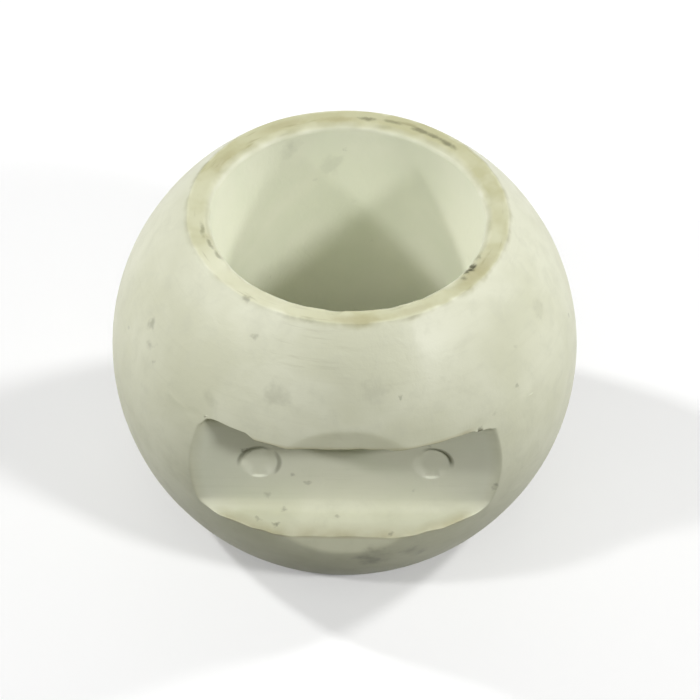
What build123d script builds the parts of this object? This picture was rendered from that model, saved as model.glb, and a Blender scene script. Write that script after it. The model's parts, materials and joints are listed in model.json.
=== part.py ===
from build123d import *

import os
from math import sqrt

# Ball of a plastic ball valve, moulded in one piece and shown with its waterway upright.
# Sizes are in millimetres. The origin is the ball's centre, where the waterway's axis, Z,
# crosses the stem's axis, Y. The stem slot faces -Y and runs along X, open at both ends.

# Driving sizes
ball_diameter = 43.0
bore_diameter = 25.0  # the waterway, for a nominal 1 inch valve
bore_chamfer = 0.5  # lead-in at both mouths of the waterway
seat_flat_width = 1.65  # flat ring round each mouth, outside its chamfer
seat_edge_radius = 0.3  # rounding where the flat ring meets the ball
stem_flat_depth = 1.4  # how far the ball's crown is cut back under the stem's shoulder
slot_depth = 3.9  # from the stem flat down to the slot's floor
slot_width = 10.8  # wall to wall, along the waterway
slot_corner_radius = 1.0  # where the slot's floor turns up into each wall
slot_lip_radius = 0.15  # edge break round the slot's mouth
pin_mark_diameter = 3.6  # flats that the two ejector pins left in the slot's floor
pin_mark_depth = 0.2
pin_mark_spacing = 15.6  # centre to centre, along the slot

# Sizes that follow from them
ball_radius = ball_diameter / 2
bore_radius = bore_diameter / 2
mouth_radius = bore_radius + bore_chamfer
seat_radius = mouth_radius + seat_flat_width
seat_height = sqrt(ball_radius**2 - seat_radius**2)
stem_flat_height = ball_radius - stem_flat_depth
slot_floor_height = stem_flat_height - slot_depth

with BuildPart() as ball:
    # Half of the upright section, turned about the waterway's axis
    with BuildSketch(Plane.XZ) as half_section:
        with BuildLine():
            Polyline(
                (seat_radius, -seat_height),
                (mouth_radius, -seat_height),
                (bore_radius, -seat_height + bore_chamfer),
                (bore_radius, seat_height - bore_chamfer),
                (mouth_radius, seat_height),
                (seat_radius, seat_height),
            )
            ThreePointArc((seat_radius, seat_height), (ball_radius, 0), (seat_radius, -seat_height))
        make_face()
        seat_corners = half_section.vertices().group_by(Axis.X)[-1]
        fillet(seat_corners, radius=seat_edge_radius)
    revolve(axis=Axis.Z)

    # The crown is cut flat, to clear the stem's shoulder
    split(bisect_by=Plane.XZ.offset(stem_flat_height), keep=Keep.BOTTOM)

    # The stem slot, its section carried right across the ball
    with BuildSketch(Plane.YZ.offset(-ball_radius)) as slot_section:
        with Locations((-ball_radius, 0)):
            Rectangle(ball_radius - slot_floor_height, slot_width, align=(Align.MIN, Align.CENTER))
        floor_corners = slot_section.vertices().group_by(Axis.X)[-1]
        fillet(floor_corners, radius=slot_corner_radius)
    extrude(amount=ball_diameter, mode=Mode.SUBTRACT)

    # Edge break round the slot's mouth, which is all of its new edges but the lines inside it
    slot_edges = ball.edges(Select.LAST)
    inner_lines = slot_edges.filter_by_position(
        Axis.Y, -stem_flat_height, 0, inclusive=(False, True)
    ).filter_by(Axis.X)
    fillet(slot_edges - inner_lines, radius=slot_lip_radius)

    # Round marks of the ejector pins, sunk into the slot's floor
    with BuildSketch(Plane.XZ.offset(slot_floor_height)):
        with GridLocations(pin_mark_spacing, 0, 2, 1):
            Circle(pin_mark_diameter / 2)
    extrude(amount=-pin_mark_depth, mode=Mode.SUBTRACT)

ball.part.label = "ball"

os.makedirs("parts", exist_ok=True)
export_step(ball.part, "parts/ball.step")
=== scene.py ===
# %% [markdown]
# A used plastic valve ball
#
# This is the ball of a small plastic ball valve, taken out of its valve after years of use. It is
# one moulding: a ball with a round waterway through it, a flat seat ring round each mouth, and an
# open-ended slot across its crown, where the valve's stem takes hold and turns it.
#
# The frame below is the exact solid, at its real size. The looks are built around it in metres, in
# the same place, so nothing has to be fitted afterwards.

# %% Load the frame
import json
import math

import bpy
import numpy as np
from mathutils import Matrix, Vector


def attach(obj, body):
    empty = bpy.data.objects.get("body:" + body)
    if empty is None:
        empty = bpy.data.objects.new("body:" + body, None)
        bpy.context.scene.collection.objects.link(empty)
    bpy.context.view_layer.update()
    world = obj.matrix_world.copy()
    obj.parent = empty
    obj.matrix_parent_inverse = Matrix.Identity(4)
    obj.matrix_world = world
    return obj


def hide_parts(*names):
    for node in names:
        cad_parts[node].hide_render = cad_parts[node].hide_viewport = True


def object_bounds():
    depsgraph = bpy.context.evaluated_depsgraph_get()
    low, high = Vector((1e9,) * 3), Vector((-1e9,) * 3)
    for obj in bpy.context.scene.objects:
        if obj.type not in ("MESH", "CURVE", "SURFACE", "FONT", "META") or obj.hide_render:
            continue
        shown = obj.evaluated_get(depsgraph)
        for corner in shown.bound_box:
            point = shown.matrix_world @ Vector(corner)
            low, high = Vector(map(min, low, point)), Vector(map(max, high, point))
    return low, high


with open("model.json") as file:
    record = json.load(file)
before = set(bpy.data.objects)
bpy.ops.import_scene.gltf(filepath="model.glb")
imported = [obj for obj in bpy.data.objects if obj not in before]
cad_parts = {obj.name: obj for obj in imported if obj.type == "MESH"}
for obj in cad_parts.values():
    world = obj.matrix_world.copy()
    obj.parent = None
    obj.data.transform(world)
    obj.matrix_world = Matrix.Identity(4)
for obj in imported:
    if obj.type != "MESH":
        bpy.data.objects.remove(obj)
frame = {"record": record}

cad_low, cad_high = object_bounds()
print("solid, in mm:", [round(1000 * side, 2) for side in cad_high - cad_low])

# %% [markdown]
# Read the driving sizes
#
# Where the frame's record states a size, it is read from there, so that the mesh can't drift away
# from the solid. The few sizes that it doesn't state are written here once, in millimetres. All the
# shapes are worked out in millimetres too, and turned to metres when a mesh is made.

# %% Driving sizes
MM = 0.001
mounts = {mount["name"]: mount for mount in frame["record"]["mounts"]}

ball_radius = 21.5
bore_radius = mounts["waterway"]["dims"]["r_mm"]
seat_height = mounts["upper_seat_flat"]["pos_m"][2] / MM
bore_chamfer = seat_height - mounts["waterway"]["dims"]["length_mm"] / 2
slot_floor = -mounts["stem_slot"]["pos_m"][1] / MM
crown_height = -cad_low.y / MM
slot_half_width = 5.4
slot_corner = 1.0
slot_lip = 0.1
seat_edge = 0.3
mouth_edge = 0.2
pin_mark_radius = 1.8
pin_mark_depth = 0.2
pin_mark_x = 7.8
mouth_radius = bore_radius + bore_chamfer
seat_radius = math.sqrt(ball_radius**2 - seat_height**2)
print("seats at", round(seat_height, 2), "mm, slot floor at", round(slot_floor, 2), "mm")
print("crown at", round(crown_height, 2), "mm")

# %% [markdown]
# Three small helpers for the grid
#
# The whole skin is one grid of rows and columns that closes on itself both ways, like a ring
# doughnut's. A grid is only as good as its spacing, so one helper spreads lines coarsely over smooth
# stretches and crowds them beside an edge. The second is a maximum with its corner rounded off: where
# two cuts meet, it gives the small rounding that a mould's edge leaves. The third bends a few rows
# round an edge.

# %% Grid helpers
def spread(low, high, coarse, fine=0.05, places=(), reach=0.6):
    """Points from low to high. Their spacing is fine beside each place and grows in proportion to
    the distance from it, up to coarse at reach. They stand at equal steps of the running total of
    one over the spacing."""
    fine_grid = np.linspace(low, high, 6001)
    spacing = np.full_like(fine_grid, coarse)
    if len(places):
        away = np.abs(fine_grid[:, None] - np.asarray(places)).min(axis=1)
        spacing = fine + (coarse - fine) * np.clip(away / reach, 0, 1)
    lines = np.cumsum(1 / spacing) * (high - low) / len(fine_grid)
    lines -= lines[0]
    count = math.ceil(lines[-1])
    return np.interp(np.linspace(0, lines[-1], count + 1), lines, fine_grid)


def round_max(a, b, width):
    """The larger of a and b, with the corner where they cross rounded over plus or minus width:
    the maximum plus the square of what is left of width, over four widths."""
    left = np.clip(width - np.abs(a - b), 0, None)
    return np.maximum(a, b) + left**2 / (4 * width)


def bent(start, corner, end, steps):
    """A quadratic Bezier arc from start to end, pulled towards corner: (1-t)^2 start +
    2t(1-t) corner + t^2 end, for steps + 1 values of t."""
    t = np.linspace(0, 1, steps + 1).reshape((-1,) + (1,) * start.ndim)
    return (1 - t) ** 2 * start + 2 * t * (1 - t) * corner + t**2 * end


print("spread over 1 mm, fine at its end:", np.round(spread(0, 1, 0.4, 0.05, [1]), 2))

# %% [markdown]
# The columns
#
# A column is an azimuth round the waterway's axis, with 0 at the middle of the slot. In the slot it
# stands for a distance along the slot instead. Columns crowd at the rims of the two pin marks and at
# the slot's ends, and where the mouth is nicked.

# %% Columns
lip_ring = math.sqrt(ball_radius**2 - slot_half_width**2)
wall_foot = slot_floor + slot_corner
lip_end = math.sqrt(lip_ring**2 - wall_foot**2)
end_azimuth = math.asin(lip_end / lip_ring)
mark_rims = [side * pin_mark_x + edge * pin_mark_radius for side in (-1, 1) for edge in (-1, 1)]
nick_azimuth = math.radians(58)

slot_x = spread(-lip_end, lip_end, 0.3, 0.04, [*mark_rims, -lip_end, lip_end], 0.8)
around = spread(
    end_azimuth,
    2 * math.pi - end_azimuth,
    math.radians(0.95),
    math.radians(0.12),
    [end_azimuth, nick_azimuth, 2 * math.pi - end_azimuth],
    math.radians(5),
)
azimuth = np.concatenate([np.arcsin(slot_x / lip_ring), around[1:-1]])
azimuth = np.where(azimuth > math.pi, azimuth - 2 * math.pi, azimuth)
print(len(slot_x), "columns in the slot and", len(azimuth), "in all")

# %% [markdown]
# The turned rows
#
# From the middle of the waterway up its wall, over the chamfer, across the seat ring and round its
# edge, the ball is a turned shape: one profile of radius and height, carried round the axis. The
# profile is written once and its corners are rounded, because a used moulding has no knife edges.

# %% Rows of the turned part
def turned(radius, height):
    """Carries a profile round the axis: x = r sin(azimuth), y = -r cos(azimuth), z = height."""
    radius = radius[:, None]
    height = height[:, None] + 0 * azimuth
    return np.stack([radius * np.sin(azimuth), -radius * np.cos(azimuth), height], axis=-1)


edge_centre_z = seat_height - seat_edge
edge_centre_r = math.sqrt((ball_radius - seat_edge) ** 2 - edge_centre_z**2)
edge_angles = np.linspace(math.pi / 2, math.atan2(edge_centre_z, edge_centre_r), 7)
ball_top = edge_centre_z * ball_radius / (ball_radius - seat_edge)

bore_top = np.array([bore_radius, seat_height - bore_chamfer])
mouth_corner = np.array([mouth_radius, seat_height])
up = np.array([0, mouth_edge])
slope = np.array([mouth_edge, mouth_edge]) / math.sqrt(2)
out = np.array([mouth_edge, 0])

bore_z = spread(0, bore_top[1] - mouth_edge, 1.6, 0.05, [bore_top[1] - mouth_edge], 1.5)
chamfer_t = np.linspace(0, 1, 5)[1:-1, None]
flat_r = spread(mouth_radius + mouth_edge, edge_centre_r, 0.3, 0.06, [mouth_radius, edge_centre_r], 0.5)
profile = np.concatenate([
    np.stack([np.full_like(bore_z, bore_radius), bore_z], axis=1)[:-1],
    bent(bore_top - up, bore_top, bore_top + slope, 3),
    bore_top + slope + chamfer_t * (mouth_corner - bore_top - 2 * slope),
    bent(mouth_corner - slope, mouth_corner, mouth_corner + out, 3),
    np.stack([flat_r, np.full_like(flat_r, seat_height)], axis=1)[1:-1],
    np.stack([
        edge_centre_r + seat_edge * np.cos(edge_angles),
        edge_centre_z + seat_edge * np.sin(edge_angles),
    ], axis=1),
])
turned_rows = turned(profile[:, 0], profile[:, 1])
print(len(profile), "turned rows, the top of the ball proper at", round(ball_top, 2), "mm")

# %% [markdown]
# The ball, its crown and the slot
#
# Below the seat ring comes the ball itself, whose crown is cut flat under the stem's shoulder. Then
# the skin turns over the slot's lip, goes down the wall, and follows the floor. Seen along the
# stem, the floor and the ball are both heights over the same x and z, and the skin is simply the
# deeper of the two. Past the slot's ends the wall shrinks to nothing, so its rows share one vertex.

# %% Rows of the ball and the slot
CREASE = 0.12


def ball_rows(height):
    """Points of the ball at each column's azimuth and the given height, cut back to the crown:
    ring radius = root of (R^2 - z^2), then y is the larger of the ball's and the crown's."""
    ring = np.sqrt(ball_radius**2 - height**2)
    x = ring * np.sin(azimuth)
    y = round_max(-ring * np.cos(azimuth), np.full_like(x, -crown_height), CREASE)
    return np.stack([x, y, height + 0 * x], axis=-1)


def slot_section(height):
    """The slot's section: flat at its floor, then a quarter circle out to the foot of each wall."""
    into_corner = np.clip(np.abs(height) - slot_half_width + slot_corner, 0, slot_corner)
    return -wall_foot + np.sqrt(slot_corner**2 - into_corner**2)


def band_rows(height):
    """The skin between the two walls. Columns of the slot spread so that the last one follows the
    edge where the floor leaves the ball; the others spread to make room. The skin is the larger y
    of the ball and the slot's section."""
    height = height[:, None]
    section = slot_section(height)
    ring = np.sqrt(ball_radius**2 - height**2)
    end_x = np.sqrt(ring**2 - section**2)
    lip_x = np.clip(lip_ring * np.sin(azimuth), -lip_end, lip_end)
    straight = 10.4
    stretched = straight + (np.abs(lip_x) - straight) * (end_x - straight) / (lip_end - straight)
    slot_column_x = np.where(np.abs(lip_x) < straight, lip_x, np.sign(lip_x) * stretched)
    end_here = np.arcsin(end_x / ring)
    past_end = np.clip(np.abs(azimuth) - end_azimuth, 0, None)
    side_azimuth = end_here + past_end * (math.pi - end_here) / (math.pi - end_azimuth)
    side_x = np.sign(azimuth) * ring * np.sin(side_azimuth)
    in_slot = np.abs(azimuth) <= end_azimuth
    x = np.where(in_slot, slot_column_x, side_x)
    ball_y = np.where(in_slot, -np.sqrt(ring**2 - slot_column_x**2), -ring * np.cos(side_azimuth))
    y = round_max(ball_y, section, CREASE)
    return np.stack([x, y, height + 0 * x], axis=-1)


corner_angles = np.linspace(math.pi / 2, 0, 9)
corner_z = slot_half_width - slot_corner + slot_corner * np.sin(corner_angles)
floor_edge = slot_half_width - slot_corner
floor_z = spread(-floor_edge, floor_edge, 0.3, 0.04, [-pin_mark_radius, pin_mark_radius], 0.8)[::-1]
band_z = np.concatenate([corner_z, floor_z[1:-1], -corner_z[::-1]])
band = band_rows(band_z)

lip_height = np.full_like(azimuth, slot_half_width)
lip_corner = ball_rows(lip_height)
wall_height = band[0, :, 1] - lip_corner[:, 1]
lip_round = np.minimum(slot_lip, 0.45 * wall_height)
wall_start = lip_corner + lip_round[:, None] * np.array([0, 1, 0])
lip_start = ball_rows(lip_height + lip_round)
lip_rows = bent(lip_start, lip_corner, wall_start, 4)
wall_t = np.array([0.06, 0.2, 0.4, 0.6, 0.8, 0.94])[:, None, None]
wall_rows = wall_start + wall_t * (band[0] - wall_start)

crown_rim = math.sqrt(ball_radius**2 - crown_height**2) - 0.3
ball_z = spread(slot_half_width, ball_top, 0.6, 0.12, [slot_half_width, crown_rim, ball_top], 2.5)[::-1]
share = (ball_z[1:-1, None] - slot_half_width) / (ball_top - slot_half_width)
upper_ball = ball_rows(share * ball_top + (1 - share) * (slot_half_width + lip_round))

upper = np.concatenate([turned_rows, upper_ball, lip_rows, wall_rows])
lower = upper[:0:-1] * np.array([1, 1, -1])
skin = np.concatenate([upper, band, lower])
print("grid of", skin.shape[0], "rows and", skin.shape[1], "columns")
print("deepest wall", round(wall_height.max(), 2), "mm")

# %% [markdown]
# The pin marks
#
# Two ejector pins pushed the moulding off its core and left round flats, sunk 0.2 mm into the slot's
# floor. A square grid would give them a saw-toothed rim. So around each mark the grid is bent first:
# a point's square distance from the middle becomes its round distance, and the squares of the grid
# turn into circles. Then everything inside the mark's radius is sunk. The rim is crisp on its upper
# outer side and at its lowest point, and worn to a gentle slope elsewhere.

# %% Pin marks
CRISP_SLOPE = 0.1  # width of the rim's slope in mm, where it is crisp
GENTLE_SLOPE = 1.0  # and where it is worn
RIM_ROUND = 0.05


def to_circles(points, centre_x):
    """Near a mark, moves a floor point along its own direction so that its distance from the middle
    becomes max(|dx|, |dz|). The move fades out between one and one and a half radii."""
    dx = points[..., 0] - centre_x
    dz = points[..., 2]
    square = np.maximum(np.abs(dx), np.abs(dz))
    distance = np.maximum(np.hypot(dx, dz), 1e-9)
    fade = np.clip((1.45 * pin_mark_radius - square) / (0.35 * pin_mark_radius), 0, 1)
    factor = 1 + fade * (square / distance - 1)
    moved = points.copy()
    moved[..., 0] = centre_x + dx * factor
    moved[..., 2] = dz * factor
    return moved


def smooth_step(value, low, high):
    """0 below low, 1 above high, and 3t^2 - 2t^3 between them."""
    t = np.clip((value - low) / (high - low), 0, 1)
    return t * t * (3 - 2 * t)


band_range = slice(len(upper), len(upper) + len(band))
on_floor = np.abs(azimuth) < end_azimuth
for centre_x in (-pin_mark_x, pin_mark_x):
    near = np.abs(lip_ring * np.sin(azimuth) - centre_x) < 1.5 * pin_mark_radius
    columns = np.flatnonzero(near & on_floor)
    patch = to_circles(skin[band_range][:, columns], centre_x)
    distance = np.hypot(patch[..., 0] - centre_x, patch[..., 2])
    sideways = np.sign(centre_x) * (patch[..., 0] - centre_x) / (distance + 0.01)
    upwards = patch[..., 2] / (distance + 0.01)
    crisp_corner = smooth_step(0.6 * sideways + 0.8 * upwards, 0.3, 0.8)
    crisp_foot = smooth_step(-upwards, 0.85, 0.97)
    slope_width = CRISP_SLOPE + (GENTLE_SLOPE - CRISP_SLOPE) * (1 - np.maximum(crisp_corner, crisp_foot))
    sunk = 1 - smooth_step(distance, pin_mark_radius - slope_width, pin_mark_radius + RIM_ROUND)
    patch[..., 1] += pin_mark_depth * sunk
    skin[band_range.start:band_range.stop, columns] = patch
print("pin marks", 2 * pin_mark_radius, "mm across at x =", pin_mark_x)

# %% [markdown]
# The worn ends of the slot
#
# The stem's tang has been forced against the upper wall of the slot at its left end, and has pushed
# its lip back by half a millimetre, from a sharp kink out to the end. At the right end it has rolled
# the lip over instead, a third of a millimetre down. Points near the lip slide along z by such a
# push, which rises and falls smoothly. Those on the ball stay on it, and none ends up outside it.

# %% Worn slot ends
PUSHED_BACK = 0.52
ROLLED_OVER = 0.34
KINK = (8.1, 9.2)  # mm along the slot to the left, over which the push sets in
PUSH_ENDS = (12.6, 13.2)
ROLL_STARTS = (10.6, 12.2)  # and to the right
ROLL_ENDS = (13.2, 13.8)
skin_x, skin_y, skin_z = np.moveaxis(skin, -1, 0)
push = PUSHED_BACK * smooth_step(-skin_x, *KINK) * (1 - smooth_step(-skin_x, *PUSH_ENDS))
push -= ROLLED_OVER * smooth_step(skin_x, *ROLL_STARTS) * (1 - smooth_step(skin_x, *ROLL_ENDS))
push *= smooth_step(skin_z, 3.2, slot_half_width) * (1 - smooth_step(skin_z, slot_half_width, 8.5))
push *= skin_y < -bore_radius
was_on_ball = np.linalg.norm(skin, axis=-1) > ball_radius - 0.002
skin[..., 2] += push
on_ball_y = -np.sqrt(np.clip(ball_radius**2 - skin_x**2 - skin_z**2, 0, None))
put_back = (push != 0) & (was_on_ball | (skin_y < on_ball_y))
skin[..., 1] = np.where(put_back, on_ball_y, skin[..., 1])
print("lip pushed back by", round(float(push.max()), 2), "mm, and down by", round(-float(push.min()), 2))

# %% [markdown]
# Wear in the shape
#
# Wear that catches light has to be in the mesh. Slow waves, a few hundredths of a millimetre high,
# stand for the shrinkage of a thick moulding. The rims of the mouth are rubbed unevenly, the slot's
# lips wander by a tenth of a millimetre, and one sharp nick was knocked out of the upper mouth. Waves
# are sums of cosines in seeded directions, so they are smooth, repeatable and need no loop over the
# vertices.

# %% Wear
MOULD_WAVE = 0.02  # mean depth of the slow waves, in mm as all of these are
RIM_RUB = 0.24
LIP_WANDER = 0.12
NICK_OUT, NICK_DOWN = 0.12, 0.3
NICK_REACH = (0.28, 0.5, 0.35)  # outwards, along the rim, upwards


def waves(points, length, seed, count=20):
    """A smooth random field between about -1 and 1: the mean of count cosines of wave length about
    length, each in its own direction and phase, scaled by the root of their number."""
    rng = np.random.default_rng(seed)
    direction = rng.normal(size=(count, 3))
    direction /= np.linalg.norm(direction, axis=1)[:, None]
    direction *= 2 * math.pi / (length * rng.uniform(0.7, 1.4, count))[:, None]
    phase = rng.uniform(0, 2 * math.pi, count)
    return np.cos(points @ direction.T + phase).sum(axis=-1) * math.sqrt(2 / count) / 2


radius_here = np.hypot(skin[..., 0], skin[..., 1])
outward = skin / np.linalg.norm(skin, axis=-1, keepdims=True)
on_ball = smooth_step(radius_here, mouth_radius + 0.6, mouth_radius + 3.0)
skin_moves = -MOULD_WAVE * (1 + waves(skin, 9.0, 1)) * on_ball
worn = skin + skin_moves[..., None] * outward

rim = np.exp(-((radius_here - mouth_radius) ** 2 + (np.abs(skin[..., 2]) - seat_height) ** 2) / 0.3)
rubbed_off = RIM_RUB * rim * np.clip(waves(skin, 2.4, 2) + 0.1, 0, 1)
level_out = skin[..., :2] / radius_here[..., None]
from_mouth = np.concatenate([level_out, -np.sign(skin[..., 2:])], axis=-1)
worn += rubbed_off[..., None] * from_mouth / math.sqrt(2)

at_lip = np.exp(-((np.abs(skin[..., 2]) - slot_half_width) ** 2) / 0.25) * (skin[..., 1] < -bore_radius)
at_lip *= smooth_step(np.linalg.norm(skin, axis=-1), 19.2, 20.6)
worn[..., 2] += LIP_WANDER * at_lip * waves(skin, 2.4, 4)

nick = np.array([
    mouth_radius * math.sin(nick_azimuth),
    -mouth_radius * math.cos(nick_azimuth),
    seat_height,
])
out_of_nick = np.array([math.sin(nick_azimuth), -math.cos(nick_azimuth), 0])
along_nick = np.array([math.cos(nick_azimuth), math.sin(nick_azimuth), 0])
nick_axes = np.stack([out_of_nick, along_nick, (0, 0, 1)], axis=-1)
to_nick = (worn - nick) @ nick_axes / NICK_REACH
nick_share = np.exp(-((to_nick**2).sum(axis=-1)))
worn += nick_share[..., None] * (NICK_OUT * out_of_nick + np.array([0, 0, -NICK_DOWN]))
print("wear moves the skin by up to", round(np.linalg.norm(worn - skin, axis=-1).max(), 2), "mm")

# %% [markdown]
# From the grid to one closed mesh
#
# Every grid cell is a face between two rows and two columns, and the last row and column join the
# first. Where the wall has shrunk to nothing, its rows point at one shared vertex, and faces that
# lose two corners that way are left out.

# %% Mesh of the ball
def closed_mesh(name, grid, shared_rows, shared_columns, keep_row):
    """Makes a mesh of a grid that closes both ways. In shared_columns, all of shared_rows use the
    vertex of keep_row. Cells with four corners stay quads, and with three become triangles."""
    rows, columns = grid.shape[:2]
    index = np.arange(rows * columns).reshape(rows, columns)
    for band_of_rows, kept in zip(shared_rows, keep_row):
        index[np.ix_(band_of_rows, shared_columns)] = index[kept, shared_columns]
    down = np.roll(index, -1, axis=0)
    cells = np.stack([index, down, np.roll(down, -1, axis=1), np.roll(index, -1, axis=1)], axis=-1)
    cells = cells.reshape(-1, 4)
    same = cells == np.roll(cells, -1, axis=1)
    quads = cells[~same.any(axis=1)]
    single = cells[same.sum(axis=1) == 1]
    triangles = single[~same[same.sum(axis=1) == 1]].reshape(-1, 3)
    used, renumbered = np.unique(np.concatenate([quads.ravel(), triangles.ravel()]), return_inverse=True)
    quads = renumbered[: quads.size].reshape(-1, 4)
    triangles = renumbered[quads.size:].reshape(-1, 3)
    mesh = bpy.data.meshes.new(name)
    points = grid.reshape(-1, 3)[used] * MM
    mesh.from_pydata(points.tolist(), [], quads.tolist() + triangles.tolist())
    mesh.polygons.foreach_set("use_smooth", np.ones(len(mesh.polygons), dtype=bool))
    mesh.update()
    piece = bpy.data.objects.new(name, mesh)
    bpy.context.scene.collection.objects.link(piece)
    return piece


def signed_volume(mesh):
    """Volume inside a mesh, positive where its faces point outwards: a sixth of the sum of
    a . (b x c) over its triangles."""
    mesh.calc_loop_triangles()
    points = np.empty(len(mesh.vertices) * 3)
    mesh.vertices.foreach_get("co", points)
    corners = np.empty(len(mesh.loop_triangles) * 3, dtype=np.int32)
    mesh.loop_triangles.foreach_get("vertices", corners)
    a, b, c = np.moveaxis(points.reshape(-1, 3)[corners.reshape(-1, 3)], 1, 0)
    return float((a * np.cross(b, c)).sum() / 6)


wall_gone = np.flatnonzero(wall_height < 1e-4)
first_lip = len(turned_rows) + len(upper_ball)
upper_shared = np.arange(first_lip, len(upper))
lower_shared = band_range.stop + np.arange(len(wall_rows) + len(lip_rows))
ball = closed_mesh(
    "worn_ball",
    worn,
    [upper_shared, lower_shared],
    wall_gone,
    [len(upper), band_range.stop - 1],
)
volume = signed_volume(ball.data)
print(len(ball.data.vertices), "vertices,", len(ball.data.loop_triangles), "triangles")
print("volume", round(volume / MM**3), "mm3")

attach(ball, "root")
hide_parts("ball")

# %% [markdown]
# Helpers for the material
#
# Shader nodes take linear colour values, while a colour is easiest to choose as the sRGB hex that a
# painting program shows, so one function turns the one into the other. A second one adds a node,
# sets it, links it and hands back its output, so that a chain of nodes reads like a formula.

# %% Colour and node helpers
def linear(text):
    """Turns an sRGB hex colour, such as "#D9DAC8", into the linear values that shaders take."""
    srgb = np.array([int(text[i:i + 2], 16) for i in (1, 3, 5)]) / 255
    value = np.where(srgb <= 0.04045, srgb / 12.92, ((srgb + 0.055) / 1.055) ** 2.4)
    return (*value.tolist(), 1.0)


def node(tree, kind, inputs=None, out=0, **settings):
    """Adds a shader node, sets its properties, fills its inputs with values or with links, and
    returns the output named by out. A node without outputs is returned itself."""
    made = tree.nodes.new("ShaderNode" + kind)
    for key, value in settings.items():
        setattr(made, key, value)
    for key, value in (inputs or {}).items():
        if isinstance(value, bpy.types.NodeSocket):
            tree.links.new(value, made.inputs[key])
        else:
            made.inputs[key].default_value = value
    return made.outputs[out] if made.outputs else made


# The Mix node keeps its colour sockets behind these numbers.
MIX_FACTOR, MIX_A, MIX_B, MIX_RESULT = 0, 6, 7, 2
print("cream in linear values:", np.round(linear("#E9EAD3"), 3))

# %% [markdown]
# Moulded plastic
#
# The ball is an off-white engineering plastic, such as PVDF or polypropylene, moulded and left as it
# came out of the mould: a dielectric with the usual index of about 1.5 and a satin gloss. Age has
# made it cream, water has kept its waterway and the slot's floor a little whiter, and handling has
# left greyish clouds.
#
# All patterns are measured in millimetres, on the object's own coordinates, so that they stay where
# they are on the ball from every side. Two distances describe a turned part well: how far a point is
# from the waterway's axis, and how high it is.

# %% Moulded plastic: places
plastic = bpy.data.materials.new("moulded_plastic")
plastic.use_nodes = True
tree = plastic.node_tree
tree.nodes.clear()
object_place = node(tree, "TexCoord", out="Object")
place = node(tree, "Mapping", {"Vector": object_place, "Scale": (1 / MM, 1 / MM, 1 / MM)})
parted = node(tree, "SeparateXYZ", {0: place}, out="X").node
across = node(tree, "CombineXYZ", {"X": parted.outputs["X"], "Y": parted.outputs["Y"]})
from_axis = node(tree, "VectorMath", {0: across}, out="Value", operation="LENGTH")
height = node(tree, "Math", {0: parted.outputs["Z"]}, operation="ABSOLUTE")

# %% Moulded plastic: clouds and grain
# Clouds about 9 mm wide, blotches of 2 mm, and a mould grain drawn at 0.4 mm, about four pixels,
# where the real one of 0.05 mm would not show.
clouds = node(
    tree, "TexNoise",
    {"Vector": place, "Scale": 1 / 9.0, "Detail": 3.0, "Roughness": 0.55, "Distortion": 0.4},
)
blotches = node(
    tree, "TexNoise",
    {"Vector": place, "Scale": 1 / 2.2, "Detail": 4.0, "Roughness": 0.6, "Distortion": 0.3},
)
grain = node(
    tree, "TexNoise",
    {"Vector": place, "Scale": 1 / 0.4, "Detail": 2.0, "Roughness": 0.6},
)
cloudy = node(
    tree, "MapRange",
    {"Value": clouds, "From Min": 0.35, "From Max": 0.68}, interpolation_type="SMOOTHSTEP",
)
blotchy = node(
    tree, "MapRange",
    {"Value": blotches, "From Min": 0.45, "From Max": 0.75, "To Max": 0.5}, interpolation_type="SMOOTHSTEP",
)
cream = node(
    tree, "Mix",
    {MIX_FACTOR: cloudy, MIX_A: linear("#E9EAD3"), MIX_B: linear("#DFE0C6")}, MIX_RESULT, data_type="RGBA",
)
cream = node(
    tree, "Mix",
    {MIX_FACTOR: blotchy, MIX_A: cream, MIX_B: linear("#D9DAC3")}, MIX_RESULT, data_type="RGBA",
)
in_waterway = node(
    tree, "MapRange",
    {"Value": from_axis, "From Min": mouth_radius, "From Max": bore_radius + 0.1},
    interpolation_type="SMOOTHSTEP",
)
whiter = node(
    tree, "Mix",
    {MIX_FACTOR: cloudy, MIX_A: linear("#EFF0DD"), MIX_B: linear("#E9ECD7")}, MIX_RESULT, data_type="RGBA",
)
from_floor = node(tree, "Math", {0: parted.outputs["Y"], 1: slot_floor}, operation="ADD")
from_floor = node(tree, "Math", {0: from_floor}, operation="ABSOLUTE")
from_centre = node(tree, "VectorMath", {0: place}, out="Value", operation="LENGTH")
at_floor = node(tree, "MapRange", {"Value": from_floor, "From Min": 0.9, "From Max": 0.3})
below_skin = node(
    tree, "MapRange", {"Value": from_centre, "From Min": ball_radius - 0.1, "From Max": ball_radius - 0.8}
)
off_corner = node(
    tree, "MapRange", {"Value": height, "From Min": floor_edge + 0.6, "From Max": floor_edge - 0.2}
)
on_floor_here = node(tree, "Math", {0: at_floor, 1: below_skin}, operation="MULTIPLY")
on_floor_here = node(tree, "Math", {0: on_floor_here, 1: off_corner}, operation="MULTIPLY")
washed = node(tree, "Math", {0: in_waterway, 1: on_floor_here}, operation="MAXIMUM")
body_colour = node(
    tree, "Mix",
    {MIX_FACTOR: washed, MIX_A: cream, MIX_B: whiter}, MIX_RESULT, data_type="RGBA",
)

# %% [markdown]
# Stains on the seat rings and the crown
#
# The seats of the valve pressed on the two flat rings and rubbed round them, and left them beige,
# with ragged edges. The stain is a band in the distance from the axis. Noise added to that distance
# frays its edges by about a quarter of a millimetre, a slower noise makes it lighter and darker, and
# one stretch at the front left is paler. Brown streaks run round the ring: their noise is drawn out
# along it by using the direction from the axis, at a small scale, beside the distance from it, at a
# large one.

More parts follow.
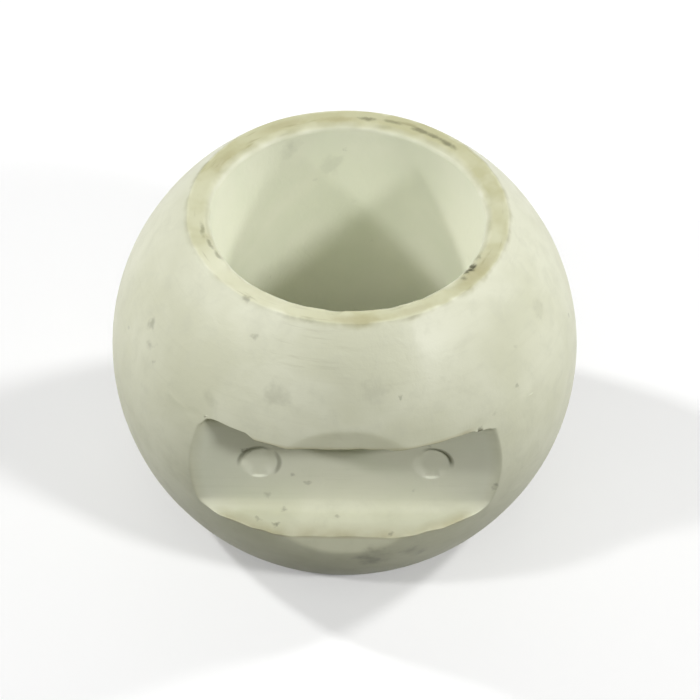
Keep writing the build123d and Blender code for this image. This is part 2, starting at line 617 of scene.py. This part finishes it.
# %% Seat ring stain
fray = node(
    tree, "TexNoise", {"Vector": place, "Scale": 1 / 2.0, "Detail": 2.5, "Roughness": 0.5}
)
frayed = node(tree, "Math", {0: fray, 1: 1.2, 2: -0.6}, operation="MULTIPLY_ADD")
frayed = node(tree, "Math", {0: from_axis, 1: frayed}, operation="ADD")
inside_edge = node(
    tree, "MapRange",
    {"Value": frayed, "From Min": bore_radius - 0.6, "From Max": mouth_radius + 0.3},
)
outside_edge = node(
    tree, "MapRange",
    {"Value": frayed, "From Min": seat_radius + 0.4, "From Max": seat_radius - 0.3},
    interpolation_type="SMOOTHSTEP",
)
near_top = node(
    tree, "MapRange",
    {"Value": height, "From Min": seat_height - 0.9, "From Max": seat_height - 0.2},
    interpolation_type="SMOOTHSTEP",
)
on_ring = node(tree, "Math", {0: inside_edge, 1: outside_edge}, operation="MULTIPLY")
on_ring = node(tree, "Math", {0: on_ring, 1: near_top}, operation="MULTIPLY")

patchy = node(
    tree, "TexNoise", {"Vector": place, "Scale": 1 / 5.0, "Detail": 3.0, "Roughness": 0.6}
)
deep = node(
    tree, "MapRange",
    {"Value": patchy, "From Min": 0.38, "From Max": 0.68}, interpolation_type="SMOOTHSTEP",
)
far_side = node(
    tree, "MapRange",
    {"Value": parted.outputs["Y"], "From Min": 0.0, "From Max": mouth_radius, "To Max": 0.7},
    interpolation_type="SMOOTHSTEP",
)
deep = node(tree, "Math", {0: deep, 1: far_side}, operation="ADD", use_clamp=True)
ring_colour = node(
    tree, "Mix",
    {MIX_FACTOR: deep, MIX_A: linear("#C9C9A9"), MIX_B: linear("#B8B68E")}, MIX_RESULT, data_type="RGBA",
)
to_pale_stretch = node(
    tree, "VectorMath", {0: place, 1: (-9.5, -9.8, seat_height)}, out="Value", operation="DISTANCE"
)
not_pale = node(
    tree, "MapRange",
    {"Value": to_pale_stretch, "From Min": 3.5, "From Max": 8.0, "To Min": 0.5, "To Max": 0.92},
    interpolation_type="SMOOTHSTEP",
)
ring_amount = node(tree, "Math", {0: on_ring, 1: not_pale}, operation="MULTIPLY")
stained = node(
    tree, "Mix",
    {MIX_FACTOR: ring_amount, MIX_A: body_colour, MIX_B: ring_colour}, MIX_RESULT, data_type="RGBA",
)

# %% Brown streaks round the rings
ring_direction = node(tree, "VectorMath", {0: across}, operation="NORMALIZE")
slow_round = node(tree, "VectorMath", {0: ring_direction, "Scale": 5.0}, operation="SCALE")
fast_out = node(tree, "Math", {0: from_axis, 1: 2.6}, operation="MULTIPLY")
fast_out = node(tree, "CombineXYZ", {"Z": fast_out})
ring_place = node(tree, "VectorMath", {0: slow_round, 1: fast_out}, operation="ADD")
streaks = node(
    tree, "TexNoise", {"Vector": ring_place, "Scale": 0.7, "Detail": 2.0, "Roughness": 0.6}
)
streaky = node(
    tree, "MapRange",
    {"Value": streaks, "From Min": 0.58, "From Max": 0.8, "To Max": 0.4}, interpolation_type="SMOOTHSTEP",
)
streaky = node(tree, "Math", {0: streaky, 1: on_ring}, operation="MULTIPLY")
stained = node(
    tree, "Mix",
    {MIX_FACTOR: streaky, MIX_A: stained, MIX_B: linear("#7E7550")}, MIX_RESULT, data_type="RGBA",
)

# %% Crown stain
# The stem's shoulder left a faint beige print on the flat that it turned on.
CROWN_PRINT = 0.18
crown_print = node(
    tree, "MapRange",
    {
        "Value": parted.outputs["Y"],
        "From Min": 0.08 - crown_height,
        "From Max": 0.02 - crown_height,
        "To Max": CROWN_PRINT,
    },
    interpolation_type="SMOOTHSTEP",
)
stained = node(
    tree, "Mix",
    {MIX_FACTOR: crown_print, MIX_A: stained, MIX_B: linear("#CBC9A6")}, MIX_RESULT, data_type="RGBA",
)

# %% Lip stain
# The slot's lips are rubbed and faintly brown, on the wall just inside them. The stain fades out
# before the slot's ends, so that it doesn't run on over the ball.
LIP_STAIN_DEPTH = 1.9
from_wall = node(tree, "Math", {0: height, 1: -slot_half_width}, operation="ADD")
from_wall = node(tree, "Math", {0: from_wall}, operation="ABSOLUTE")
on_wall = node(tree, "MapRange", {"Value": from_wall, "From Min": 0.4, "From Max": 0.1})
high_on_wall = node(
    tree, "MapRange",
    {
        "Value": parted.outputs["Y"],
        "From Min": LIP_STAIN_DEPTH - crown_height,
        "From Max": 0.1 - crown_height,
    },
)
near_skin = node(
    tree, "MapRange", {"Value": from_centre, "From Min": ball_radius - 1.3, "From Max": ball_radius - 0.1}
)
along_slot = node(tree, "Math", {0: parted.outputs["X"]}, operation="ABSOLUTE")
slot_side = node(
    tree, "MapRange", {"Value": along_slot, "From Min": lip_end, "From Max": lip_end - 1.0}
)
slot_front = node(tree, "Math", {0: parted.outputs["Y"], 1: -bore_radius}, operation="LESS_THAN")
slot_side = node(tree, "Math", {0: slot_side, 1: slot_front}, operation="MULTIPLY")
lip_stain = node(tree, "Math", {0: high_on_wall, 1: near_skin}, operation="MAXIMUM")
lip_stain = node(tree, "Math", {0: lip_stain, 1: on_wall}, operation="MULTIPLY")
lip_stain = node(tree, "Math", {0: lip_stain, 1: slot_side}, operation="MULTIPLY")
lip_stain = node(tree, "Math", {0: lip_stain, 1: fray}, operation="MULTIPLY")
stained = node(
    tree, "Mix",
    {MIX_FACTOR: lip_stain, MIX_A: stained, MIX_B: linear("#BCB48C")}, MIX_RESULT, data_type="RGBA",
)

# %% [markdown]
# Marks of use, and painted shade
#
# Some marks are single ones, with a place of their own: greasy smudges on the ball and its ring, and
# small dark spots where grit was pressed in, as in the slot, in the nick of the mouth and on the slot's
# lip. The two smudges below the slot are painted shade on the ball's lower front, and one spot is
# painted shadow on the upper outer rim of the left pin mark. Each is a soft-edged ball of the given
# radius round a point, and it looks ragged because the place itself is moved about by noise before
# the distance to the point is taken. Smudges are broken up by a second noise as well. Both lists give
# place, radius and strength.

# %% Smudges, spots and painted shade
smudges_and_shade = {
    "left_upper": ((-17.9, -7.8, 9.0), 0.9, 0.36),
    "left_lower": ((-17.8, -9.3, 7.7), 0.9, 0.34),
    "right": ((17.2, -6.8, 11.0), 1.5, 0.26),
    "front_left": ((-6.3, -18.0, 10.0), 1.5, 0.22),
    "front": ((2.5, -18.3, 11.0), 1.8, 0.14),
    "above_slot_left": ((-12.3, -16.0, 7.5), 1.2, 0.15),
    "back_left": ((-8.0, 17.6, 9.2), 1.8, 0.22),
    "back_low": ((5.5, 20.2, -4.5), 2.4, 0.20),
    "back_right": ((13.6, 13.4, 9.4), 1.5, 0.24),
    "side_low": ((-18.6, 9.4, -5.2), 2.0, 0.20),
    # Painted shade: these two darken the ball's lower front below the slot, where the lamps light it
    # little.
    "below_slot": ((2.8, -19.6, -8.6), 2.2, 0.5),
    "below_slot_right": ((6.5, -18.6, -8.6), 1.6, 0.35),
    "in_waterway_left": ((-5.3, 11.3, 13.8), 1.3, 0.15),
    "in_waterway_middle": ((-1.5, 12.4, 11.0), 1.5, 0.12),
}
spots = {
    "beside_ring": ((-8.4, -14.3, 13.6), 0.5, 0.30),
    "chip_on_ring": ((-9.1, -11.5, 15.7), 0.55, 0.40),
    "nick": ((10.9, -7.1, 15.5), 0.6, 1.0),
    "nick_upper": ((11.25, -6.6, 15.5), 0.55, 1.0),
    "nick_lower": ((10.6, -7.6, 15.6), 0.5, 0.90),
    "nick_tail": ((10.3, -8.4, 15.7), 0.45, 0.50),
    "nick_head": ((11.7, -5.6, 15.6), 0.5, 0.40),
    "lip": ((12.0, -17.1, 5.1), 0.5, 0.90),
    # Painted shadow on the upper outer rim of the left pin mark.
    "left_mark_outer": ((-9.1, -16.1, 1.4), 0.5, 0.80),
    "slot_end": ((13.7, -16.3, -2.7), 0.55, 0.45),
    "floor_left": ((-4.7, -16.2, -1.5), 0.4, 0.30),
    "floor_middle": ((-3.4, -16.2, -2.5), 0.4, 0.25),
    "floor_low": ((-7.0, -16.2, -4.0), 0.5, 0.25),
    "wall_front": ((-6.2, -18.6, -5.4), 0.45, 0.60),
    "wall_back": ((-5.5, -16.8, -5.4), 0.4, 0.35),
    "wall_left": ((-7.9, -17.9, -5.4), 0.35, 0.30),
    "wall_right": ((4.2, -19.7, -5.4), 0.35, 0.40),
    "wall_middle": ((-0.7, -17.6, -5.4), 0.35, 0.30),
    "wall_far_right": ((11.3, -17.8, -5.4), 0.4, 0.40),
    "floor_right": ((6.2, -16.2, -3.3), 0.35, 0.25),
}


def ragged(where, length, reach):
    """The place called where, moved about by up to reach, by noise of the given length on the ball,
    both in millimetres."""
    wander = node(
        tree, "TexNoise", {"Vector": place, "Scale": 1 / length, "Detail": 3.0, "Roughness": 0.6},
        out="Color",
    )
    wander = node(tree, "VectorMath", {0: wander, 1: (-0.5, -0.5, -0.5)}, operation="ADD")
    wander = node(tree, "VectorMath", {0: wander, "Scale": 2 * reach}, operation="SCALE")
    return node(tree, "VectorMath", {0: where, 1: wander}, operation="ADD")


def largest_of(marks, around_here):
    """The strongest of the soft-edged marks at each place: strength inside, 0 past the radius."""
    strongest = None
    for centre, radius, strength in marks.values():
        away = node(
            tree, "VectorMath", {0: around_here, 1: centre}, out="Value", operation="DISTANCE"
        )
        here = node(
            tree, "MapRange",
            {"Value": away, "From Min": radius, "From Max": 0.2 * radius, "To Max": strength},
            interpolation_type="SMOOTHSTEP",
        )
        strongest = here if strongest is None else node(
            tree, "Math", {0: strongest, 1: here}, operation="MAXIMUM"
        )
    return strongest


broken = node(
    tree, "MapRange",
    {"Value": fray, "From Min": 0.35, "From Max": 0.6, "To Min": 0.35}, interpolation_type="SMOOTHSTEP",
)
# This mixes the greasy smudges with the painted shade below the slot.
smudged_and_shaded = largest_of(smudges_and_shade, ragged(place, 1.8, 1.5))
smudged_and_shaded = node(tree, "Math", {0: smudged_and_shaded, 1: broken}, operation="MULTIPLY")
speck_place = ragged(place, 0.7, 0.5)
spotted = largest_of(spots, speck_place)
marks_and_shade = node(tree, "Math", {0: smudged_and_shaded, 1: spotted}, operation="MAXIMUM")
print(len(smudges_and_shade), "smudges and", len(spots), "spots")

# %% [markdown]
# Marks along the upper seat ring
#
# The marks that the valve's seat left on the ring are drawn out along it. They are placed on the ring
# unrolled: the way along it, the radius and the height, with the way along it squeezed to a quarter,
# so that a round mark there is a long one on the ball. Dark ones are grit, brown ones are stain.

# %% Marks on the ring
SQUEEZE = 0.25
unrolled_radius = (mouth_radius + seat_radius) / 2


def on_unrolled_ring(azimuth_degrees, radius):
    """A place on the upper ring, unrolled, for an azimuth from the middle of the slot."""
    turn = math.remainder(math.radians(azimuth_degrees - 90), 2 * math.pi)
    return (SQUEEZE * unrolled_radius * turn, radius, seat_height)


dark_ring_marks = {
    "back": (on_unrolled_ring(172, 13.65), 0.35, 0.60),
    "back_right": (on_unrolled_ring(162, 13.75), 0.32, 0.45),
    "right_start": (on_unrolled_ring(150, 13.7), 0.36, 0.60),
    "right_middle": (on_unrolled_ring(144, 13.65), 0.36, 0.60),
    "right_end": (on_unrolled_ring(138, 13.65), 0.42, 0.65),
    "front_left": (on_unrolled_ring(-14, 14.7), 0.36, 0.20),
    "front_far_left": (on_unrolled_ring(-22, 14.9), 0.34, 0.16),
    "left_line_start": (on_unrolled_ring(-80, 13.4), 0.32, 0.45),
    "left_line_middle": (on_unrolled_ring(-72, 13.17), 0.3, 0.50),
    "left_line_end": (on_unrolled_ring(-64, 13.05), 0.3, 0.45),
}
brown_ring_marks = {
    "back_middle": (on_unrolled_ring(-177, 13.4), 0.6, 0.45),
    "back_left": (on_unrolled_ring(-154, 13.8), 0.8, 0.40),
    "left": (on_unrolled_ring(-123, 13.6), 0.7, 0.35),
    "front": (on_unrolled_ring(3, 14.2), 0.9, 0.45),
    "front_right": (on_unrolled_ring(24, 14.0), 0.7, 0.30),
    "by_the_nick": (on_unrolled_ring(57, 13.9), 1.0, 0.45),
}
turn_here = node(
    tree, "Math", {0: parted.outputs["Y"], 1: parted.outputs["X"]}, operation="ARCTAN2"
)
along_ring = node(tree, "Math", {0: turn_here, 1: SQUEEZE * unrolled_radius}, operation="MULTIPLY")
unrolled = node(tree, "CombineXYZ", {"X": along_ring, "Y": from_axis, "Z": parted.outputs["Z"]})
unrolled = ragged(unrolled, 0.9, 0.225)
gritty_ring = largest_of(dark_ring_marks, unrolled)
brown_ring = largest_of(brown_ring_marks, unrolled)
marks_and_shade = node(tree, "Math", {0: marks_and_shade, 1: gritty_ring}, operation="MAXIMUM")
stained = node(
    tree, "Mix",
    {MIX_FACTOR: brown_ring, MIX_A: stained, MIX_B: linear("#A39B72")}, MIX_RESULT, data_type="RGBA",
)
print(len(dark_ring_marks), "dark and", len(brown_ring_marks), "brown marks on the ring")

# %% [markdown]
# Painted shade in the pin marks
#
# Each pin mark's rim is painted darker in its crisp corner, up and outwards from its middle, where
# this is painted shadow, and the left mark's inner side is painted darker too. Both marks are alike,
# so x is folded over first; then the painted shade is a band in the distance from the middle.

# %% Painted shade in the pin marks
beside_mark = node(tree, "Math", {0: parted.outputs["X"]}, operation="ABSOLUTE")
beside_mark = node(tree, "Math", {0: beside_mark, 1: -pin_mark_x}, operation="ADD")
on_mark = node(tree, "CombineXYZ", {"X": beside_mark, "Z": parted.outputs["Z"]})
from_mark = node(tree, "VectorMath", {0: on_mark}, out="Value", operation="LENGTH")
from_rim = node(tree, "Math", {0: from_mark, 1: -pin_mark_radius}, operation="ADD")
from_rim = node(tree, "Math", {0: from_rim}, operation="ABSOLUTE")
up_and_out = node(
    tree, "VectorMath", {0: on_mark, 1: (0.6, 0, 0.8)}, out="Value", operation="DOT_PRODUCT"
)
in_rim = node(
    tree, "MapRange",
    {"Value": from_rim, "From Min": 0.34, "From Max": 0.06}, interpolation_type="SMOOTHSTEP",
)
upper_side = node(
    tree, "MapRange",
    {"Value": up_and_out, "From Min": 0.5, "From Max": 1.7, "To Max": 0.7}, interpolation_type="SMOOTHSTEP",
)
inner_side = node(
    tree, "MapRange",
    {"Value": beside_mark, "From Min": -1.2, "From Max": -1.7, "To Max": 0.5},
    interpolation_type="SMOOTHSTEP",
)
left_half = node(tree, "Math", {0: parted.outputs["X"], 1: 0.0}, operation="LESS_THAN")
inner_side = node(tree, "Math", {0: inner_side, 1: left_half}, operation="MULTIPLY")
dark_side = node(tree, "Math", {0: upper_side, 1: inner_side}, operation="MAXIMUM")
# The rim is painted darker here: painted shadow on its upper outer side, and a darker band on the left
# mark's inner side.
rim_painted_shade = node(tree, "Math", {0: in_rim, 1: dark_side}, operation="MULTIPLY")
rim_painted_shade = node(tree, "Math", {0: rim_painted_shade, 1: on_floor_here}, operation="MULTIPLY")
marks_and_shade = node(tree, "Math", {0: marks_and_shade, 1: rim_painted_shade}, operation="MAXIMUM")

# %% Scattered specks
# Grit is spread thinly over the whole ball: about one in three of the cells of 2.6 mm holds a dark
# speck, up to half a millimetre across.
cells = node(tree, "TexVoronoi", {"Vector": speck_place, "Scale": 1 / 2.6}, out="Distance")
chosen = node(
    tree, "MapRange",
    {"Value": cells.node.outputs["Color"], "From Min": 0.62, "From Max": 0.95, "To Max": 0.35},
)
speck = node(
    tree, "MapRange",
    {"Value": cells, "From Min": 0.12, "From Max": 0.04, "To Max": 1.0}, interpolation_type="SMOOTHSTEP",
)
speck = node(tree, "Math", {0: speck, 1: chosen}, operation="MULTIPLY")
marks_and_shade = node(tree, "Math", {0: marks_and_shade, 1: speck}, operation="MAXIMUM")
# Marks, spots and painted shade all darken the colour towards this olive grey.
soiled_and_shaded = node(
    tree, "Mix",
    {MIX_FACTOR: marks_and_shade, MIX_A: stained, MIX_B: linear("#605F47")}, MIX_RESULT, data_type="RGBA",
)

# %% [markdown]
# Scratches
#
# Below the front of the upper seat ring the seat has rubbed level scratches into the ball, and much
# fainter ones go round it everywhere. Noise whose scale is small along x and y and large along z
# gives level streaks on any side of the ball.

# %% Scratches
level = node(tree, "Mapping", {"Vector": place, "Scale": (0.14, 0.14, 2.2)})
scratches = node(
    tree, "TexNoise", {"Vector": level, "Scale": 1.0, "Detail": 3.0, "Roughness": 0.7}
)
scratched = node(
    tree, "MapRange",
    {"Value": scratches, "From Min": 0.5, "From Max": 0.75}, interpolation_type="SMOOTHSTEP",
)
to_rub = node(
    tree, "VectorMath", {0: place, 1: (-3.8, -15.4, 14.2)}, out="Value", operation="DISTANCE"
)
rubbed = node(
    tree, "MapRange",
    {"Value": to_rub, "From Min": 5.0, "From Max": 1.5, "To Min": 0.05, "To Max": 0.28},
    interpolation_type="SMOOTHSTEP",
)
off_ring = node(
    tree, "MapRange",
    {"Value": from_axis, "From Min": seat_radius - 0.2, "From Max": seat_radius + 0.3},
    interpolation_type="SMOOTHSTEP",
)
scratched = node(tree, "Math", {0: scratched, 1: rubbed}, operation="MULTIPLY")
scratched = node(tree, "Math", {0: scratched, 1: off_ring}, operation="MULTIPLY")
finished_colour = node(
    tree, "Mix",
    {MIX_FACTOR: scratched, MIX_A: soiled_and_shaded, MIX_B: linear("#A9A686")}, MIX_RESULT, data_type="RGBA",
)

# %% [markdown]
# Gloss and relief
#
# A stained or scratched place is rougher than the satin skin round it. The relief is what the finest
# wear does to the light: the mould's grain, the blotches' slow waves, scratches and pressed-in grit,
# all as heights in millimetres.

# %% Gloss and relief
SATIN = 0.34  # roughness of the skin, and what blotches and wear add to it
DULLER_BLOTCH = 0.16
DULLER_WEAR = 0.14
GRAIN_HEIGHT = 0.008
relief_heights = ((blotches, 0.05), (scratched, -0.02), (streaky, -0.05), (marks_and_shade, -0.03))

gloss = node(tree, "Math", {0: blotches, 1: DULLER_BLOTCH, 2: SATIN}, operation="MULTIPLY_ADD")
worn_gloss = node(tree, "Math", {0: on_ring, 1: scratched}, operation="MAXIMUM")
gloss = node(tree, "Math", {0: worn_gloss, 1: DULLER_WEAR, 2: gloss}, operation="MULTIPLY_ADD")

relief = node(tree, "Math", {0: grain, 1: GRAIN_HEIGHT}, operation="MULTIPLY")
for pattern, in_mm in relief_heights:
    relief = node(tree, "Math", {0: pattern, 1: in_mm, 2: relief}, operation="MULTIPLY_ADD")
bent_normal = node(tree, "Bump", {"Height": relief, "Distance": MM, "Strength": 1.0})

skin_shader = node(
    tree, "BsdfPrincipled",
    {
        "Base Color": finished_colour,
        "Roughness": gloss,
        "IOR": 1.5,
        "Specular IOR Level": 0.3,
        "Normal": bent_normal,
    },
)
node(tree, "OutputMaterial", {"Surface": skin_shader})
ball.data.materials.append(plastic)
print(plastic.name, "has", len(tree.nodes), "nodes")

# %% [markdown]
# The table
#
# The ball stands on its lower seat ring, on a plain white table. A table lit like the ball would be
# grey where its shadow falls and would throw much light back up. So the camera sees a white one, a
# fifth of it glowing so that the shadow stays pale, and the light that goes to the ball meets a dull
# one.

# %% Table
TABLE_REACH = 3.0
GLOW_SHARE = 0.2
table_z = cad_low.z
table_mesh = bpy.data.meshes.new("table_top")
sides = ((-1, -1), (1, -1), (1, 1), (-1, 1))
table_corners = [(x * TABLE_REACH, y * TABLE_REACH, table_z) for x, y in sides]
table_mesh.from_pydata(table_corners, [], [(0, 1, 2, 3)])
table = bpy.data.objects.new("table_top", table_mesh)
bpy.context.scene.collection.objects.link(table)

paper = bpy.data.materials.new("white_paper")
paper.use_nodes = True
tree = paper.node_tree
tree.nodes.clear()
ray = node(tree, "LightPath", out="Is Camera Ray").node
seen = node(
    tree, "Math",
    {0: ray.outputs["Is Camera Ray"], 1: ray.outputs["Is Glossy Ray"]}, operation="MAXIMUM",
)
seen = node(tree, "Math", {0: seen, 1: ray.outputs["Is Transmission Ray"]}, operation="MAXIMUM")
dull = node(tree, "BsdfDiffuse", {"Color": linear("#464622")})
white = node(tree, "BsdfDiffuse", {"Color": linear("#FFFFFF")})
glow = node(tree, "Emission", {"Color": linear("#FFFFFF"), "Strength": 1.0})
bright = node(tree, "MixShader", {0: GLOW_SHARE, 1: white, 2: glow})
mixed = node(tree, "MixShader", {0: seen, 1: dull, 2: bright})
node(tree, "OutputMaterial", {"Surface": mixed})
table_mesh.materials.append(paper)
print("table top", 2 * TABLE_REACH, "m wide at z =", round(table_z / MM, 2), "mm")

# %% [markdown]
# Lamps
#
# Studio light for a small white object comes from small lamps all round it, at one height. Those in
# front, right and left, model the ball from two sides and cross their shadows inside its waterway.
# The left one is two lamps close together, so that its shadow has a soft edge. Two more light the
# sides from behind. A broad lamp high in front fills the slot, and one behind fills the waterway.

# %% Lamps
LAMP_DISTANCE = 0.6


def lamp(name, turn, elevation, size, watts):
    """A square area lamp at LAMP_DISTANCE from the ball, facing it. Its direction is given by its
    turn round the ball from the front, in degrees, and its elevation."""
    light = bpy.data.lights.new(name, "AREA")
    light.shape = "SQUARE"
    light.size = size
    light.energy = watts
    holder = bpy.data.objects.new(name, light)
    turn, elevation = math.radians(turn), math.radians(elevation)
    towards = Vector((
        math.sin(turn) * math.cos(elevation),
        -math.cos(turn) * math.cos(elevation),
        math.sin(elevation),
    ))
    holder.location = towards * LAMP_DISTANCE
    holder.rotation_mode = "QUATERNION"
    holder.rotation_quaternion = towards.to_track_quat("Z", "Y")
    bpy.context.scene.collection.objects.link(holder)
    return holder


lamp("front_right_lamp", 49, 35.4, 0.08, 1.6)
lamp("front_left_lamp", -64, 34, 0.05, 0.85)
lamp("second_front_left_lamp", -60, 36, 0.05, 0.3)
lamp("back_right_lamp", 113, 35, 0.08, 1.78)
lamp("back_left_lamp", -115, 36.5, 0.05, 1.68)
lamp("high_front_lamp", -25, 55, 0.5, 0.52)
lamp("broad_back_lamp", 180, 45, 0.5, 0.35)

world = bpy.data.worlds.new("dim_room")
bpy.context.scene.world = world
world.use_nodes = True
tree = world.node_tree
tree.nodes.clear()
room = node(tree, "Background", {"Color": linear("#FFFFFF"), "Strength": 0.005})
node(tree, "OutputWorld", {"Surface": room})

# %% [markdown]
# Camera
#
# The ball's outline, both rings of its mouth and its slot give the view: 42.5 degrees above the
# horizontal, about 25 ball radii away. The lens is as long as it takes to show the ball 232.4 pixels
# in radius, in a frame of 700 pixels, and the shift puts its outline's centre where it was.

# %% Camera
FRAME_PX = 700
SENSOR_MM = 36.0
camera_radii = 25
camera_elevation = math.radians(42.5)
camera_turn = math.radians(1.36)
camera_roll = math.radians(1.58)
outline_radius_px = 232.4
outline_centre_px = (344.6, 342.5)

focal_px = outline_radius_px * math.sqrt(camera_radii**2 - 1)
back = Vector((
    -math.sin(camera_turn) * math.cos(camera_elevation),
    -math.cos(camera_turn) * math.cos(camera_elevation),
    math.sin(camera_elevation),
))
level_right = Vector((0, 0, 1)).cross(back).normalized()
level_up = back.cross(level_right)
right = math.cos(camera_roll) * level_right + math.sin(camera_roll) * level_up
up_axis = back.cross(right)

camera_data = bpy.data.cameras.new("camera")
camera_data.sensor_width = SENSOR_MM
camera_data.lens = SENSOR_MM * focal_px / FRAME_PX
camera_data.shift_x = (FRAME_PX / 2 - outline_centre_px[0]) / FRAME_PX
camera_data.shift_y = (outline_centre_px[1] - FRAME_PX / 2) / FRAME_PX
camera_data.clip_start = 0.01
camera = bpy.data.objects.new("camera", camera_data)
camera_place = Matrix.Translation(back * camera_radii * ball_radius * MM)
camera.matrix_world = camera_place @ Matrix((right, up_axis, back)).transposed().to_4x4()
bpy.context.scene.collection.objects.link(camera)
bpy.context.scene.camera = camera
bpy.context.scene.view_settings.view_transform = "Standard"
print("lens", round(camera_data.lens, 1), "mm")
print("shift", round(camera_data.shift_x, 4), round(camera_data.shift_y, 4))

# %% Finish
bpy.context.view_layer.update()
